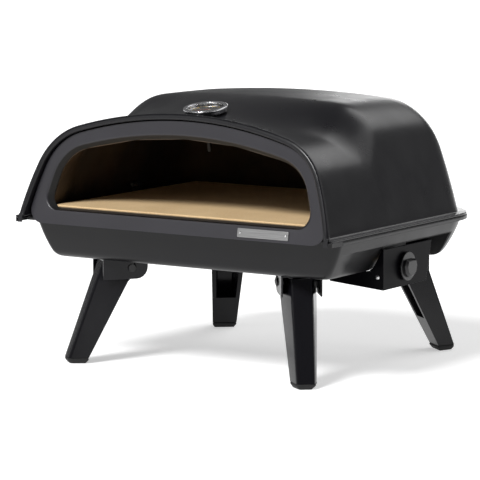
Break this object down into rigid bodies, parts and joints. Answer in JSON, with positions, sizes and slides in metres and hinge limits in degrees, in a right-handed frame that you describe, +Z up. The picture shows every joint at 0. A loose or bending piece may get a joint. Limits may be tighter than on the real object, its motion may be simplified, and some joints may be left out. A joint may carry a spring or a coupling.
{
  "type": "portable pizza oven",
  "caption": "Table-top gas pizza oven: domed hood with a leaning front arch, wide mouth, square stone, side burner, knob box, dial thermometer and folding legs.",
  "frame": {"origin": "on the floor, under the middle of the whole oven's box (legs, hood and knob)", "axes": "+X to the oven's right, where the knob is; the mouth faces -Y; +Z up"},
  "size_m": [0.527, 0.4528, 0.3832],
  "materials": {
    "hood_paint": "satin charcoal powder coat",
    "tub_paint": "satin black powder coat",
    "leg_paint": "semi-gloss black paint",
    "box_paint": "satin black powder coat",
    "knob_plastic": "matt black, moulded",
    "rubber": "matt",
    "stone": "matt, porous, light brown fired stone",
    "steel": "plain mill finish",
    "bright_steel": "fine brushed",
    "dark_steel": "matt black",
    "chrome": "polished",
    "brass": "turned",
    "ceramic": "white glazed ceramic",
    "dial": "matt off-white print",
    "pointer": "satin",
    "glass": "clear"
  },
  "bodies": {
    "oven": {"hood_shell": "hood_paint", "hood_liner": "steel", "front_panel": "hood_paint", "nameplate": "bright_steel", "nameplate_rivet_left": "bright_steel", "nameplate_rivet_right": "bright_steel", "thermometer_case": "chrome", "thermometer_bezel": "chrome", "thermometer_dial": "dial", "thermometer_glass": "glass", "thermometer_probe": "steel", "thermometer_nut": "steel", "tub": "tub_paint", "valve_recess": "dark_steel", "bottom_shield": "steel", "pizza_stone": "stone", "stone_rail_left": "steel", "stone_rail_right": "steel", "burner_bar": "steel", "flame_guard": "dark_steel", "igniter": "ceramic", "burner_supply": "steel", "gas_pipe": "brass", "gas_inlet": "brass", "valve_body": "brass", "control_box": "box_paint", "box_screw": "bright_steel", "leg_bracket_front_right": "leg_paint", "leg_bracket_back_right": "leg_paint", "leg_bracket_back_left": "leg_paint", "leg_bracket_front_left": "leg_paint", "pivot_pin_front_right": "bright_steel", "pivot_pin_back_right": "bright_steel", "pivot_pin_back_left": "bright_steel", "pivot_pin_front_left": "bright_steel", "bracket_rivet_front_right": "steel", "bracket_rivet_back_right": "steel", "bracket_rivet_back_left": "steel", "bracket_rivet_front_left": "steel", "hood_screw_front_right": "steel", "hood_screw_front_left": "steel", "hood_screw_back_right": "steel", "hood_screw_back_left": "steel"},
    "stem": {"valve_stem": "brass"},
    "knob": {"knob": "knob_plastic"},
    "pointer": {"thermometer_pointer": "pointer"},
    "front_right_leg": {"leg_front_right": "leg_paint", "foot_pad_front_right": "rubber"},
    "back_right_leg": {"leg_back_right": "leg_paint", "foot_pad_back_right": "rubber"},
    "back_left_leg": {"leg_back_left": "leg_paint", "foot_pad_back_left": "rubber"},
    "front_left_leg": {"leg_front_left": "leg_paint", "foot_pad_front_left": "rubber"}
  },
  "joints": [
    {"name": "fold_front_right", "type": "hinge", "parent": "oven", "child": "front_right_leg", "pos_m": [0.1453, -0.11822, 0.137], "axis": [0.7771, 0.6293, 0], "range_deg": [0, 115]},
    {"name": "fold_back_right", "type": "hinge", "parent": "oven", "child": "back_right_leg", "pos_m": [0.1453, 0.14998, 0.137], "axis": [-0.7771, 0.6293, 0], "range_deg": [0, 115]},
    {"name": "fold_back_left", "type": "hinge", "parent": "oven", "child": "back_left_leg", "pos_m": [-0.1453, 0.14998, 0.137], "axis": [-0.7771, -0.6293, 0], "range_deg": [0, 115]},
    {"name": "fold_front_left", "type": "hinge", "parent": "oven", "child": "front_left_leg", "pos_m": [-0.1453, -0.11822, 0.137], "axis": [0.7771, -0.6293, 0], "range_deg": [0, 115]},
    {"name": "knob_push", "type": "slide", "parent": "oven", "child": "stem", "axis": [-1, 0, 0], "range_m": [0, 0.002], "stiffness_N_per_m": 2000, "springref_m": -0.002},
    {"name": "knob_turn", "type": "hinge", "parent": "stem", "child": "knob", "pos_m": [0.249, -0.00082, 0.1526], "axis": [1, 0, 0], "range_deg": [0, 240]},
    {"name": "temperature", "type": "hinge", "parent": "oven", "child": "pointer", "pos_m": [0, -0.12912, 0.36415], "axis": [0, 0.1671, -0.9859], "range_deg": [0, 270], "stiffness_Nm_per_rad": 0.0005}
  ]
}
